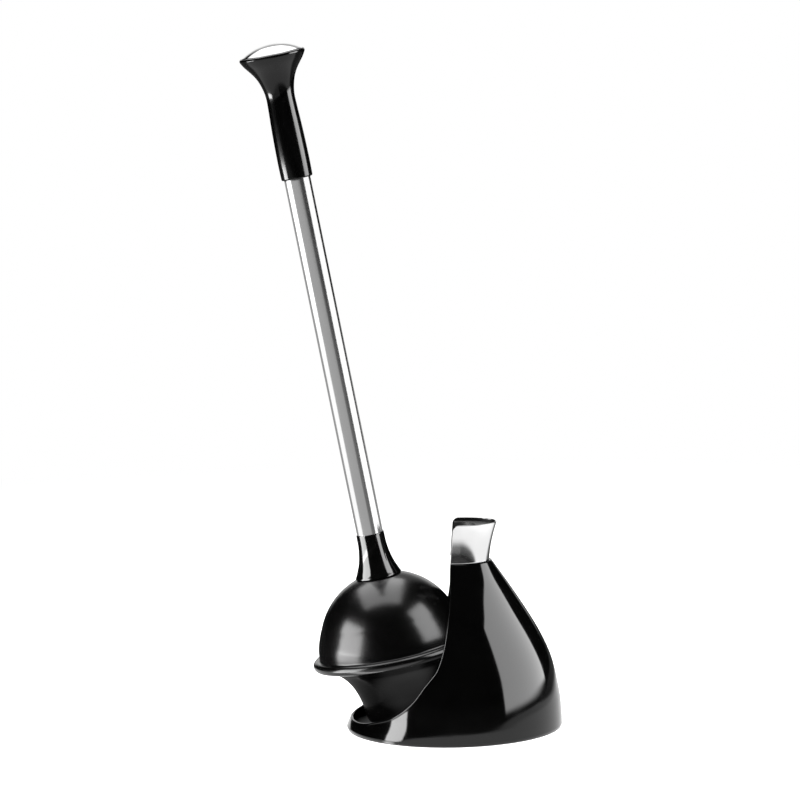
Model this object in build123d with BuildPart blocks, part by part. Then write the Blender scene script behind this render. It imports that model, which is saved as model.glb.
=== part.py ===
"""Toilet plunger and its caddy, in millimetres.

The caddy stands on z = 0 with its back towards +x and its open front towards -x; y = 0 is its
plane of symmetry. The plunger's cup sits in the open front and its shaft leans towards -x.
"""
from build123d import *
import os
from math import sqrt, sin, cos, radians, pi

os.makedirs("parts", exist_ok=True)

# ---------------------------------------------------------------- caddy sizes
WALL = 2.5               # moulded wall of the shell
PAD_T = 0.8              # non-slip pad
FLOOR_T = 1.8            # floor moulding
FLOOR_TOP = PAD_T + FLOOR_T
JOINT_Z = 142.0          # where the steel collar meets the shell
STOW_X = 7.4             # axis of the plunger when it is put away
SHELL_SLOT_R = 15.6      # half width of the neck's slot through the deck
LINER_SLOT_R = 14.2      # half width of the neck's slot through the liner

COLLAR_TOP = 174.5
COLLAR_HALF = 22.5       # half width at the foot of the collar
COLLAR_HALF_TOP = COLLAR_HALF + 0.3
COLLAR_T = 1.0           # sheet thickness
LINER_TOP = COLLAR_TOP - 3.0
COLLAR_SCREWS = [(22.5, 11.5), (22.5, -11.5)]
COLLAR_HEAD_Z = JOINT_Z - 5.0
COLLAR_HEAD_T = 1.6

MAGNET_X, MAGNET_Z = 26.0, 152.0
MAGNET_R = 3.0
MAGNET_BORE_L = 19.0     # length of bore that holds the magnet
MAGNET_GAP = 0.05        # radial clearance of the bore

BOSSES = [(20, 80), (20, -80), (-40, 72), (-40, -72)]
HEAD_RECESS = 1.0        # depth of the screw head recesses under the floor

BALLAST_T = 7.0
BALLAST_FRONT = 48.0     # x of the plate's straight front edge
RIVETS = [(60, 24), (60, -24)]
RIVET_SHANK = BALLAST_T + 0.05

# shell outline at each height
SECTIONS = [
    # z,     back,  half,  mid,  front    (reach to +x, half width, x of widest place, reach to -x)
    (0.8,   90.9,  88.3,  0.0,  89.5),
    (2.6,   91.6,  89.0,  0.0,  90.2),
    (8.0,   91.5,  88.8,  0.0,  87.9),
    (14.0,  91.2,  88.2,  0.0,  85.0),
    (22.0,  90.7,  87.2,  0.0,  83.4),
    (38.0,  88.2,  84.8,  0.0,  81.2),
    (55.0,  84.3,  80.7,  0.0,  79.0),
    (72.4,  77.5,  74.0,  0.5,  74.0),
    (90.0,  68.2,  64.9,  1.5,  66.0),
    (107.5, 57.3,  53.5,  3.0,  56.0),
    (125.0, 45.8,  39.6,  5.0,  44.0),
    (134.0, 39.6,  30.6,  7.0,  35.0),
    (JOINT_Z, 34.2, 22.5,  8.0,  27.0),
]
FOOT = SECTIONS[0][1:]
# how far the hollow's sections sit below the shell's: it breaks through the foot, and leaves
# a deck under the collar
HOLLOW_DROP = {0.8: 1.5, 134.0: 1.6, JOINT_Z: 3.2}

# edge of the shell's opening seen from the side, (x, z): everything in front of it is cut away
OPENING_START = (-83, 10.6)
OPENING = [
    (-77, 11.6), (-66.7, 15.3), (-51.8, 21.7), (-34.5, 35.4), (-23.7, 49.3), (-12.8, 63.2),
    (-7.1, 79.7), (-4.6, 92), (-1.2, 115), (-0.6, 130), (0.1, JOINT_Z + 2),
]

# ---------------------------------------------------------------- plunger sizes
# heights are measured along the plunger's axis from the open end of the cup
LEAN = radians(10.2)     # from upright
CUP_FOOT = (-39.3, 0, 10.7)
TUBE_R, TUBE_RI = 11.1, 10.2
TUBE_LOW, TUBE_TOP = 130.0, 515.59
PLUG_R = 10.15           # both plugs inside the tube
PIN_H, PIN_R = 147.0, 2.0
STUD_HOLE_R = 4.3        # hole for the stud in neck, cup and clamp washer
GRIP_SEAT = 532.23       # seat of the screw's washer in the grip
NECK_FOOT = 121.8
NUT_H, NUT_T = 106.6, 6.35

STEM_DIR = (-sin(LEAN), 0, cos(LEAN))
RADIAL_DIR = (cos(LEAN), 0, sin(LEAN))
STEM = Axis(CUP_FOOT, STEM_DIR)
# plane through the axis: local x is the radius, local y the height
SECTION = Plane(origin=CUP_FOOT, x_dir=RADIAL_DIR, z_dir=(0, -1, 0))
# plane square to the axis at height 0
ACROSS = Plane(origin=CUP_FOOT, x_dir=RADIAL_DIR, z_dir=STEM_DIR)


# ---------------------------------------------------------------- helpers
def egg(back, half, mid, front, inset=0.0):
    """Points of an egg outline: a half ellipse to the back and a half ellipse to the front."""
    reach_back = back - mid - inset
    reach_front = front + mid - inset
    points = []
    for k in range(32):
        angle = 2 * pi * k / 32
        reach = reach_back if cos(angle) > 0 else reach_front
        points.append((mid + reach * cos(angle), (half - inset) * sin(angle)))
    return points


def egg_loft(levels):
    """Solid through closed outlines, given as (z, points)."""
    with BuildPart() as body:
        for z, points in levels:
            with BuildSketch(Plane.XY.offset(z)):
                with BuildLine():
                    Spline(*points, periodic=True)
                make_face()
        loft()
    return body.part


def collar_loft(levels):
    """Ruled solid through D outlines, round to the back: (z, back, mid, half width, front)."""
    with BuildPart() as body:
        for z, back, mid, half, front in levels:
            with BuildSketch(Plane.XY.offset(z)):
                with BuildLine():
                    EllipticalCenterArc((mid, 0), back - mid, half, start_angle=-90, arc_size=180)
                    Polyline((mid, half), (front, half), (front, -half), (mid, -half))
                make_face()
        loft(ruled=True)
    return body.part


def magnet_plane(y):
    """Plane square to the magnet's axis, facing +y."""
    return Plane(origin=(MAGNET_X, y, MAGNET_Z), z_dir=(0, 1, 0))


def turned(profile, drilled=False):
    """Solid turned about the plunger's axis from (radius, height) corners."""
    with BuildPart() as body:
        with BuildSketch(SECTION):
            with BuildLine():
                Polyline(*profile, profile[0])
            make_face()
        revolve(axis=STEM)
        if drilled:  # hole for the cross pin
            with BuildSketch(SECTION.offset(-20)):
                with Locations((0, PIN_H)):
                    Circle(PIN_R + 0.05)
            extrude(amount=40, mode=Mode.SUBTRACT)
    return body.part


# ---------------------------------------------------------------- caddy
def caddy_shell():
    """Moulded teardrop shell, open at the front, with screw bosses at the foot."""
    outside = egg_loft([(z, egg(*outline)) for z, *outline in SECTIONS])
    hollow = egg_loft([
        (z - HOLLOW_DROP.get(z, 0.0), egg(*outline, inset=WALL + (0.2 if z > 60 else 0.0)))
        for z, *outline in SECTIONS
    ])
    with BuildPart() as shell:
        add(outside)
        add(hollow, mode=Mode.SUBTRACT)
        # room below the deck and through it for the neck of the plunger
        with BuildSketch(Plane.XY.offset(118)):
            with Locations((STOW_X, 0)):
                Circle(SHELL_SLOT_R)
            with Locations((STOW_X - 30, 0)):
                Rectangle(60, 2 * SHELL_SLOT_R)
        extrude(amount=40, mode=Mode.SUBTRACT)
        for spot in BOSSES:
            with BuildSketch(Plane.XY.offset(FLOOR_TOP)):
                with Locations(spot):
                    Circle(4.6)
            extrude(amount=12)
        # front opening
        with BuildSketch(Plane.XZ):
            with BuildLine():
                Spline(*OPENING, tangents=((1, 0.15), (0.1, 1)))
                Polyline(OPENING[-1], (0.1, 220), (-120, 220), (-120, OPENING_START[1]),
                         OPENING_START, OPENING[0])
            make_face()
        extrude(amount=120, both=True, mode=Mode.SUBTRACT)
        # pilot holes in the bosses
        with BuildSketch(Plane.XY.offset(FLOOR_TOP)):
            with Locations(*BOSSES):
                Circle(1.6)
        extrude(amount=9, mode=Mode.SUBTRACT)
        # holes in the deck for the collar screws
        with BuildSketch(Plane.XY.offset(JOINT_Z - 6)):
            with Locations(*COLLAR_SCREWS):
                Circle(1.5)
        extrude(amount=10, mode=Mode.SUBTRACT)
    return shell.part


def collar_sleeve():
    """Bent steel collar, open to the front, leaning back a little towards its top."""
    outside = collar_loft([
        (JOINT_Z, 32.4, 8.0, COLLAR_HALF, 0.1),
        (COLLAR_TOP, 39.4, 9.5, COLLAR_HALF_TOP, 2.9),
    ])
    # runs 1 mm past both ends of the collar
    room = collar_loft([
        (JOINT_Z - 1, 32.18 - COLLAR_T, 8.0, COLLAR_HALF - COLLAR_T, -6),
        (COLLAR_TOP + 1, 39.62 - COLLAR_T, 9.5, COLLAR_HALF_TOP - COLLAR_T, -6),
    ])
    corner_top, corner_low = (8.0, COLLAR_TOP), (2.3, COLLAR_TOP - 5.5)
    with BuildPart() as sleeve:
        add(outside)
        add(room, mode=Mode.SUBTRACT)
        # rounded top corners of the two free ends
        with BuildSketch(Plane.XZ):
            with BuildLine():
                Polyline((-3, COLLAR_TOP - 5), (-3, COLLAR_TOP + 3), (8.0, COLLAR_TOP + 3),
                         corner_top)
                ThreePointArc(corner_top, (4.0, COLLAR_TOP - 1.4), corner_low)
                Line(corner_low, (-3, COLLAR_TOP - 5))
            make_face()
        extrude(amount=40, both=True, mode=Mode.SUBTRACT)
    return sleeve.part


def collar_liner():
    """Moulded liner inside the collar: cradles the plunger's neck and houses the magnet."""
    outside = collar_loft([
        (JOINT_Z + 0.05, 32.3 - COLLAR_T, 8.0, COLLAR_HALF - COLLAR_T - 0.1, 1.2),
        (LINER_TOP, 38.55 - COLLAR_T, 9.3, COLLAR_HALF + 0.16 - COLLAR_T, 3.6),
    ])
    with BuildPart() as liner:
        add(outside)
        with BuildSketch(Plane.XY.offset(JOINT_Z - 2)):
            with Locations((STOW_X, 0)):
                Circle(LINER_SLOT_R)
            with Locations((STOW_X - 20, 0)):
                Rectangle(40, 2 * LINER_SLOT_R)
        extrude(amount=60, mode=Mode.SUBTRACT)
        # bore for the magnet, open at its -y end and blind at the other
        bore_start = -24
        with BuildSketch(magnet_plane(bore_start)):
            Circle(MAGNET_R + MAGNET_GAP)
        extrude(amount=MAGNET_BORE_L / 2 + 0.05 - bore_start, mode=Mode.SUBTRACT)
        # pilot holes for the collar screws
        with BuildSketch(Plane.XY.offset(JOINT_Z - 1)):
            with Locations(*COLLAR_SCREWS):
                Circle(1.15)
        extrude(amount=4.2, mode=Mode.SUBTRACT)
    return liner.part


def latch_magnet():
    """Diametrically charged rod magnet, free to turn in its bore."""
    with BuildPart() as magnet:
        with BuildSketch(magnet_plane(-MAGNET_BORE_L / 2 + 0.1)):
            Circle(MAGNET_R)
        extrude(amount=MAGNET_BORE_L - 0.2)
        chamfer(magnet.edges(), 0.3)
    return magnet.part


def magnet_plug():
    """Plug that closes the magnet's bore."""
    with BuildPart() as plug:
        with BuildSketch(magnet_plane(-MAGNET_BORE_L / 2 - 2.3)):
            Circle(MAGNET_R)
        extrude(amount=2.25)
    return plug.part


def screws(spots, head_z, head_r, head_t, shank_z, shank_r, shank_l):
    """Upright screws or rivets, each a head disc and a shank."""
    with BuildPart() as fasteners:
        for z, radius, height in ((head_z, head_r, head_t), (shank_z, shank_r, shank_l)):
            with BuildSketch(Plane.XY.offset(z)):
                with Locations(*spots):
                    Circle(radius)
            extrude(amount=height)
    return fasteners.part


def collar_screws():
    """Two screws from under the deck into the liner."""
    return screws(COLLAR_SCREWS, head_z=COLLAR_HEAD_Z, head_r=2.2, head_t=COLLAR_HEAD_T,
                  shank_z=COLLAR_HEAD_Z + COLLAR_HEAD_T, shank_r=1.1, shank_l=6.3)


def base_screws():
    """Four screws up through the floor into the bosses."""
    return screws(BOSSES, head_z=PAD_T + 0.05, head_r=2.8, head_t=HEAD_RECESS - 0.05,
                  shank_z=PAD_T + HEAD_RECESS, shank_r=1.5, shank_l=9.5)


def base_floor():
    """Floor moulding that closes the foot of the shell."""
    with BuildPart() as floor:
        with BuildSketch(Plane.XY.offset(PAD_T)):
            with BuildLine():
                Spline(*egg(*FOOT, inset=WALL + 0.25), periodic=True)
            make_face()
        extrude(amount=FLOOR_T - 0.05)
        # screw holes, then the recesses for their heads
        for radius, depth in ((1.8, FLOOR_T), (3.0, HEAD_RECESS)):
            with BuildSketch(Plane.XY.offset(PAD_T)):
                with Locations(*BOSSES):
                    Circle(radius)
            extrude(amount=depth, mode=Mode.SUBTRACT)
    return floor.part


def ballast_plate():
    """Ballast behind the cup, which keeps the caddy from tipping."""
    with BuildPart() as plate:
        with BuildSketch(Plane.XY.offset(FLOOR_TOP)):
            with BuildLine():
                Spline(*egg(*FOOT, inset=WALL + 4.5), periodic=True)
            make_face()
            with Locations((BALLAST_FRONT - 100, 0)):
                Rectangle(200, 200, mode=Mode.SUBTRACT)
        extrude(amount=BALLAST_T)
        chamfer(plate.edges().group_by(Axis.Z)[-1], 0.6)
        with BuildSketch(Plane.XY.offset(FLOOR_TOP)):
            with Locations(*RIVETS):
                Circle(2.2)
        extrude(amount=BALLAST_T + 1, mode=Mode.SUBTRACT)
    return plate.part


def ballast_rivets():
    """Two rivets that hold the ballast to the floor."""
    with BuildPart() as rivets:
        for z, radius, height in (
            (FLOOR_TOP, 2.1, RIVET_SHANK),
            (FLOOR_TOP + RIVET_SHANK, 3.8, 1.6),
        ):
            with BuildSketch(Plane.XY.offset(z)):
                with Locations(*RIVETS):
                    Circle(radius)
            extrude(amount=height)
        fillet(rivets.edges().group_by(Axis.Z)[-1], 1.2)
    return rivets.part


def base_pad():
    """Non-slip pad under the whole foot."""
    with BuildPart() as pad:
        with BuildSketch(Plane.XY):
            with BuildLine():
                Spline(*egg(*FOOT, inset=0.3), periodic=True)
            make_face()
        extrude(amount=PAD_T)
    return pad.part


# ---------------------------------------------------------------- plunger
# All profiles below are (radius, height).
def handle_grip():
    """Moulded grip with a flared head, recessed for the cap and bored for tube and screw."""
    grip_low = 462.61
    bore_top = 516.76
    bore_r = TUBE_R + 0.1
    outline = [
        (13.15, grip_low + 0.8), (13.34, 474.21), (13.2, 490.65), (12.76, 507.67),
        (12.33, 517.72), (12.04, 525.46), (12.04, 532.71), (12.57, 536.87), (13.49, 540.93),
        (14.8, 545.19), (16.63, 549.34), (19.19, 553.5), (22.34, 557.66), (25.43, 561.82),
        (27.37, 565.3),
    ]
    with BuildPart() as grip:
        with BuildSketch(SECTION):
            with BuildLine():
                Polyline((3.2, bore_top), (bore_r, bore_top), (bore_r, grip_low),
                         (12.5, grip_low), outline[0])
                Spline(*outline, tangents=((0.05, 1), (0.4, 1)))
                Polyline(outline[-1], (27.56, 566.27), (27.17, 567.62), (25.72, 568.01),
                         (25.72, 566.27), (6.6, 566.27), (6.6, GRIP_SEAT), (3.2, GRIP_SEAT),
                         (3.2, bore_top))
            make_face()
        revolve(axis=STEM)
    return grip.part


def knob_cap():
    """Polished domed cap on top of the head."""
    top = [(0, 575.9), (8.7, 575.1), (17.4, 572.6), (25.14, 568.4)]
    underside = [(24.37, 567.5), (16.83, 571.45), (8.5, 573.85), (0, 574.7)]
    with BuildPart() as cap:
        with BuildSketch(SECTION):
            with BuildLine():
                Line(underside[-1], top[0])
                Spline(*top, tangents=((1, 0), (1, -0.62)))
                Polyline(top[-1], (25.53, 567.9), (25.53, 566.85), (24.37, 566.85), underside[0])
                Spline(*underside, tangents=((-1, 0.62), (-1, 0)))
            make_face()
        revolve(axis=STEM)
    return cap.part


def neck_connector():
    """Moulded neck: a sleeve round the tube that flares out over the crown of the cup."""
    sleeve_top = 158.0
    sleeve_r = 11.25
    socket_low = TUBE_LOW - 0.1
    flare = [
        (11.75, sleeve_top - 0.5), (11.85, 151), (12.0, 147.7), (12.4, 144.2), (12.9, 140.8),
        (13.6, 137.4), (14.5, 133.9), (15.65, 130.5), (17.1, 127), (18.6, 123.6), (19.4, 122.0),
    ]
    with BuildPart() as neck:
        with BuildSketch(SECTION):
            with BuildLine():
                Polyline((STUD_HOLE_R, socket_low), (sleeve_r, socket_low),
                         (sleeve_r, sleeve_top), (11.55, sleeve_top), flare[0])
                Spline(*flare, tangents=((0.0, -1), (0.42, -1)))
                Polyline(flare[-1], (19.3, 121.3), (17.9, 121.2), (17.9, NECK_FOOT),
                         (STUD_HOLE_R, NECK_FOOT), (STUD_HOLE_R, socket_low))
            make_face()
        revolve(axis=STEM)
    return neck.part


def cross_pin():
    """Pin through tube and lower plug."""
    half_length = 10.9
    with BuildPart() as pin:
        with BuildSketch(SECTION.offset(-half_length)):
            with Locations((0, PIN_H)):
                Circle(PIN_R)
        extrude(amount=2 * half_length)
        chamfer(pin.edges(), 0.25)
    return pin.part


def cup_nut():
    """Nut on the stud, inside the dome."""
    with BuildPart() as nut:
        with BuildSketch(ACROSS.offset(NUT_H)):
            RegularPolygon(7.5, 6)
            Circle(4.0, mode=Mode.SUBTRACT)
        extrude(amount=NUT_T)
    return nut.part


def rubber_cup():
    """Rubber cup: dome, rounded sealing lip and the funnel flange that fits the outlet."""
    dome_h, dome_r = 63.4, 60.4  # centre height and outer radius of the dome
    inner_r = dome_r - 3.2
    # the dome runs from the flat crown's edge down to the skirt
    crown_r = 18.2
    crown_h = dome_h + sqrt(dome_r**2 - crown_r**2)
    skirt_h = 86.0
    skirt_r = sqrt(dome_r**2 - (skirt_h - dome_h) ** 2)
    skirt = [(skirt_r, skirt_h), (59.3, 78.0), (61.7, 70.5), (62.75, 63.5), (62.9, 60.3)]
    lip = [
        (62.9, 60.3), (64.4, 59.3), (66.6, 59.3), (68.6, 57.9), (69.2, 55.7), (68.5, 53.3),
        (66.4, 51.9), (63.7, 51.7),
    ]
    funnel_outside = [
        (63.7, 51.7), (57.8, 50.0), (52.4, 46.7), (46.0, 41.4), (39.9, 32.1), (35.8, 20.5),
        (34.3, 13.6), (33.6, 5.5), (32.4, 1.8), (30.2, 0.0),
    ]
    funnel_inside = [
        (28.6, 0.2), (29.6, 2.0), (30.4, 6.0), (30.7, 13.8), (32.2, 21.2), (36.4, 33.6),
        (42.2, 43.6), (48.6, 49.8), (54.0, 54.0), (56.9, 60.5),
    ]
    ceiling = (17.0, 115.0)
    dome_inside = [
        funnel_inside[-1],
        (57.2, 64.5),
        *[(inner_r * cos(radians(angle)), dome_h + inner_r * sin(radians(angle)))
          for angle in (15, 32, 50)],
        (26.0, dome_h + sqrt(inner_r**2 - 26.0**2) - 0.6),
        ceiling,
    ]
    with BuildPart() as cup:
        with BuildSketch(SECTION):
            with BuildLine():
                Line((STUD_HOLE_R, crown_h), (crown_r, crown_h))
                RadiusArc((crown_r, crown_h), (skirt_r, skirt_h), dome_r)
                Spline(*skirt, tangents=((skirt_h - dome_h, -skirt_r), (0, -1)))
                Spline(*lip)
                Spline(*funnel_outside)
                Line(funnel_outside[-1], funnel_inside[0])
                Spline(*funnel_inside, tangents=((0.5, 1), (0.05, 1)))
                Spline(*dome_inside)
                Polyline(ceiling, (STUD_HOLE_R, ceiling[1]), (STUD_HOLE_R, crown_h))
            make_face()
        revolve(axis=STEM)
    return cup.part


def ring_profile(inner, outer, low, high):
    """Corners of a plain ring's section."""
    return [(inner, low), (outer, low), (outer, high), (inner, high)]


TURNED = {
    # adhesive foam between head and cap
    "cap_pad": turned([(9, 566.3), (22.0, 566.3), (22.0, 568.2), (17.0, 570.9), (9, 573.2)]),
    # screw down the middle of the head into the upper plug
    "grip_screw": turned([
        (0, 494.52), (2.4, 494.52), (2.95, 495.29), (2.95, 533.39), (5, 533.39), (5, 536.68),
        (4.4, 537.45), (2, 537.45), (2, 535.03), (0, 535.03),
    ]),
    # washer under the screw head
    "grip_washer": turned(ring_profile(3.1, 6.3, GRIP_SEAT, 533.34)),
    # plug in the upper end of the tube, which takes the grip screw
    "upper_plug": turned([
        (3.0, TUBE_TOP), (3.0, 486.78), (9.6, 486.78), (PLUG_R, 487.55), (PLUG_R, TUBE_TOP),
    ]),
    "shaft_tube": turned(ring_profile(TUBE_RI, TUBE_R, TUBE_LOW, TUBE_TOP), drilled=True),
    # steel plug in the lower end of the tube: carries the stud and is the magnet's keeper
    "lower_plug": turned([
        (0, 172), (9.4, 172), (PLUG_R, 171.2), (PLUG_R, TUBE_LOW), (4.0, TUBE_LOW),
        (4.0, 143.0), (0, 143.0),
    ], drilled=True),
    # seal between neck and cup
    "neck_seal": turned(ring_profile(5.0, 17.6, 121.02, NECK_FOOT - 0.05)),
    # stud from the lower plug down through the crown
    "cup_stud": turned([
        (0, 104.0), (3.2, 104.0), (3.95, 104.8), (3.95, 142.2), (3.2, 142.9), (0, 142.9),
    ]),
    # spreads the clamp load inside the dome
    "clamp_washer": turned(ring_profile(STUD_HOLE_R, 14.0, 113.0, 114.9)),
}

# ---------------------------------------------------------------- export
SHAPED = (
    caddy_shell, collar_sleeve, collar_liner, latch_magnet, magnet_plug, collar_screws,
    base_floor, base_screws, ballast_plate, ballast_rivets, base_pad,
    handle_grip, knob_cap, cross_pin, neck_connector, cup_nut, rubber_cup,
)
PARTS = {make.__name__: make() for make in SHAPED} | TURNED
for node, part in PARTS.items():
    part.label = node
    export_step(part, f"parts/{node}.step")
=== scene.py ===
"""A toilet plunger standing in its caddy: a gloss black shell with a steel collar, and a plunger
with a steel shaft, black grip and rubber cup.

World axes: +Z is up. The caddy is closed on its +X side and open on its -X side, where the
plunger stands, its top leaning to -X. The camera stands on the -Y side, so left is -X and right
is +X. Shapes are in mm and are scaled to metres as vertices are made. Lights, camera and shader
distances are in metres.
"""
import bpy
import bmesh
import math
import numpy as np
from mathutils import Vector, Matrix, Quaternion


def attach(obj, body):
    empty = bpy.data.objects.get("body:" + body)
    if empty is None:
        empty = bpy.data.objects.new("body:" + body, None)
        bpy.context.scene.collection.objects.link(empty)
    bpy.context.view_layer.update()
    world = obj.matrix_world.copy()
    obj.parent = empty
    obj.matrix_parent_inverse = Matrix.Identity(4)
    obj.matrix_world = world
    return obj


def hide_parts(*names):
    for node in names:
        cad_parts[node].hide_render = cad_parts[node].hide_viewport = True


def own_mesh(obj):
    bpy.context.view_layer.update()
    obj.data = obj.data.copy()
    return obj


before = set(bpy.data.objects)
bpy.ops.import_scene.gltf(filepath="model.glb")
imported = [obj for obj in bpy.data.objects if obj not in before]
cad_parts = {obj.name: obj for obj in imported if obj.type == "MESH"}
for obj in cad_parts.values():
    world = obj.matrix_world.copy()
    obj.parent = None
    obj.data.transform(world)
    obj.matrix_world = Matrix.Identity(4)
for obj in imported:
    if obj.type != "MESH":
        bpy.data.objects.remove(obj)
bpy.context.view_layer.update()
MM = 0.001

# ---------------------------------------------------------------- driving sizes (mm)
# plunger axis: from FOOT, the centre of the cup's mouth, leaning to -X
LEAN = math.radians(10.2)
FOOT = Vector((-39.3, 0.0, 10.7))
AXIS_X, AXIS_Z = -math.sin(LEAN), math.cos(LEAN)
STEM = Matrix((
    (AXIS_Z, 0, AXIS_X, FOOT.x),
    (0, 1, 0, 0),
    (-AXIS_X, 0, AXIS_Z, FOOT.z),
    (0, 0, 0, 1)))

# radii and heights along the plunger axis
TUBE_R, TUBE_INNER_R = 11.1, 10.2
TUBE_LOW, TUBE_TOP = 130.0, 515.59
SLEEVE_R = TUBE_R + 0.05            # bore of the grip and of the neck
GRIP_LOW, NECK_TOP = 462.6, 158.0
DOME_CENTRE, DOME_R = 63.4, 60.4

# caddy shell
SHELL_LOW = 0.8
SHELL_TOP = 142.0
SHELL_WALL = 2.5
SHELL_TUCK = 0.7                    # how far the outline draws in at the very bottom
SHELL_ARC_STEPS = 192
RIM_R = 1.15                        # bulge of the rounded rim along the cut

# collar
COLLAR_LOW, COLLAR_TOP = SHELL_TOP + 0.03, 174.5
COLLAR_WALL = 1.0
COLLAR_EDGE_R = 0.35
COLLAR_CORNER_R = 5.0
LINING_TOP = 173.9


# ---------------------------------------------------------------- curves
def cubic(xs, ys):
    """Natural cubic through (xs, ys); returns a function."""
    xs, ys = np.asarray(xs, float), np.asarray(ys, float)
    count = len(xs)
    gap = np.diff(xs)
    slope = np.diff(ys) / gap
    system, load = np.eye(count), np.zeros(count)
    for i in range(1, count - 1):
        system[i, i - 1:i + 2] = gap[i - 1], 2 * (gap[i - 1] + gap[i]), gap[i]
        load[i] = 6 * (slope[i] - slope[i - 1])
    bend = np.linalg.solve(system, load)

    def curve(x):
        x = np.clip(np.asarray(x, float), xs[0], xs[-1])
        i = np.clip(np.searchsorted(xs, x) - 1, 0, count - 2)
        ahead, behind = xs[i + 1] - x, x - xs[i]
        return ((bend[i] * ahead**3 + bend[i + 1] * behind**3) / (6 * gap[i])
                + (ys[i] / gap[i] - bend[i] * gap[i] / 6) * ahead
                + (ys[i + 1] / gap[i] - bend[i + 1] * gap[i] / 6) * behind)
    return curve


def monotone(xs, ys):
    """Cubic through (xs, ys) that doesn't overshoot; returns a function."""
    xs, ys = np.asarray(xs, float), np.asarray(ys, float)
    gap = np.diff(xs)
    slope = np.diff(ys) / gap
    tangent = np.zeros(len(xs))
    tangent[0], tangent[-1] = slope[0], slope[-1]
    for i in range(1, len(xs) - 1):
        if slope[i - 1] * slope[i] > 0:
            before, after = 2 * gap[i] + gap[i - 1], gap[i] + 2 * gap[i - 1]
            tangent[i] = (before + after) / (before / slope[i - 1] + after / slope[i])

    def curve(x):
        x = np.clip(np.asarray(x, float), xs[0], xs[-1])
        i = np.clip(np.searchsorted(xs, x) - 1, 0, len(xs) - 2)
        t = (x - xs[i]) / gap[i]
        return ((1 + 2 * t) * (1 - t)**2 * ys[i] + t * (1 - t)**2 * gap[i] * tangent[i]
                + t * t * (3 - 2 * t) * ys[i + 1] + t * t * (t - 1) * gap[i] * tangent[i + 1])
    return curve


def dense(points, step):
    """Smooth curve through 2D points, sampled about every step mm."""
    points = np.asarray(points, float)
    along = np.r_[0, np.cumsum(np.hypot(*np.diff(points, axis=0).T))]
    samples = np.linspace(0, along[-1], int(along[-1] / step) + 1)
    return list(zip(cubic(along, points[:, 0])(samples), cubic(along, points[:, 1])(samples)))


def chain(*spans):
    """Joined even divisions, each span being (low, high, count); shared ends come once."""
    parts = [np.linspace(*span) for span in spans]
    return np.concatenate([part[:-1] for part in parts[:-1]] + parts[-1:])


# ---------------------------------------------------------------- mesh building
def to_object(name, bm, merge=1e-7):
    bmesh.ops.remove_doubles(bm, verts=bm.verts, dist=merge)
    bmesh.ops.dissolve_degenerate(bm, edges=bm.edges, dist=1e-8)
    bmesh.ops.recalc_face_normals(bm, faces=bm.faces)
    mesh = bpy.data.meshes.new(name)
    bm.to_mesh(mesh)
    bm.free()
    for polygon in mesh.polygons:
        polygon.use_smooth = True
    ob = bpy.data.objects.new(name, mesh)
    bpy.context.scene.collection.objects.link(ob)
    return ob


def bridge(bm, row, next_row):
    for k in range(len(row) - 1):
        bm.faces.new((row[k], row[k + 1], next_row[k + 1], next_row[k]))


def bridge_walls(bm, outer, inner, i):
    """Faces from row i to row i + 1 on both sides of a wall."""
    for k in range(len(outer[i]) - 1):
        bm.faces.new((outer[i][k], outer[i][k + 1], outer[i + 1][k + 1], outer[i + 1][k]))
        bm.faces.new((inner[i][k + 1], inner[i][k], inner[i + 1][k], inner[i + 1][k + 1]))


def half_round(bm, start, end, bulge, steps):
    """Vertices between two points of a wall edge, along a half round that rises by bulge."""
    verts = []
    for j in range(1, steps):
        angle = math.pi * j / steps
        point = start.lerp(end, (1 - math.cos(angle)) / 2) + bulge * math.sin(angle)
        verts.append(bm.verts.new(point * MM))
    return verts


def lathe(name, profile, segments=160):
    """Closed profile [(radius, height)] turned round the plunger axis."""
    bm = bmesh.new()
    rings = []
    for radius, height in profile:
        if radius < 1e-6:
            rings.append([bm.verts.new(STEM @ Vector((0, 0, height)) * MM)])
            continue
        ring = []
        for k in range(segments):
            angle = 2 * math.pi * k / segments
            point = Vector((radius * math.cos(angle), radius * math.sin(angle), height))
            ring.append(bm.verts.new(STEM @ point * MM))
        rings.append(ring)
    for i, ring in enumerate(rings):
        following = rings[(i + 1) % len(rings)]
        if len(ring) == 1 and len(following) == 1:
            continue
        for k in range(segments):
            k2 = (k + 1) % segments
            if len(ring) == 1:
                bm.faces.new((ring[0], following[k2], following[k]))
            elif len(following) == 1:
                bm.faces.new((ring[k], ring[k2], following[0]))
            else:
                bm.faces.new((ring[k], ring[k2], following[k2], following[k]))
    return to_object(name, bm)


def fit(ob, material, group, node):
    ob.data.materials.append(material)
    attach(ob, group)
    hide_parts(node)
    return ob


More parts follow.
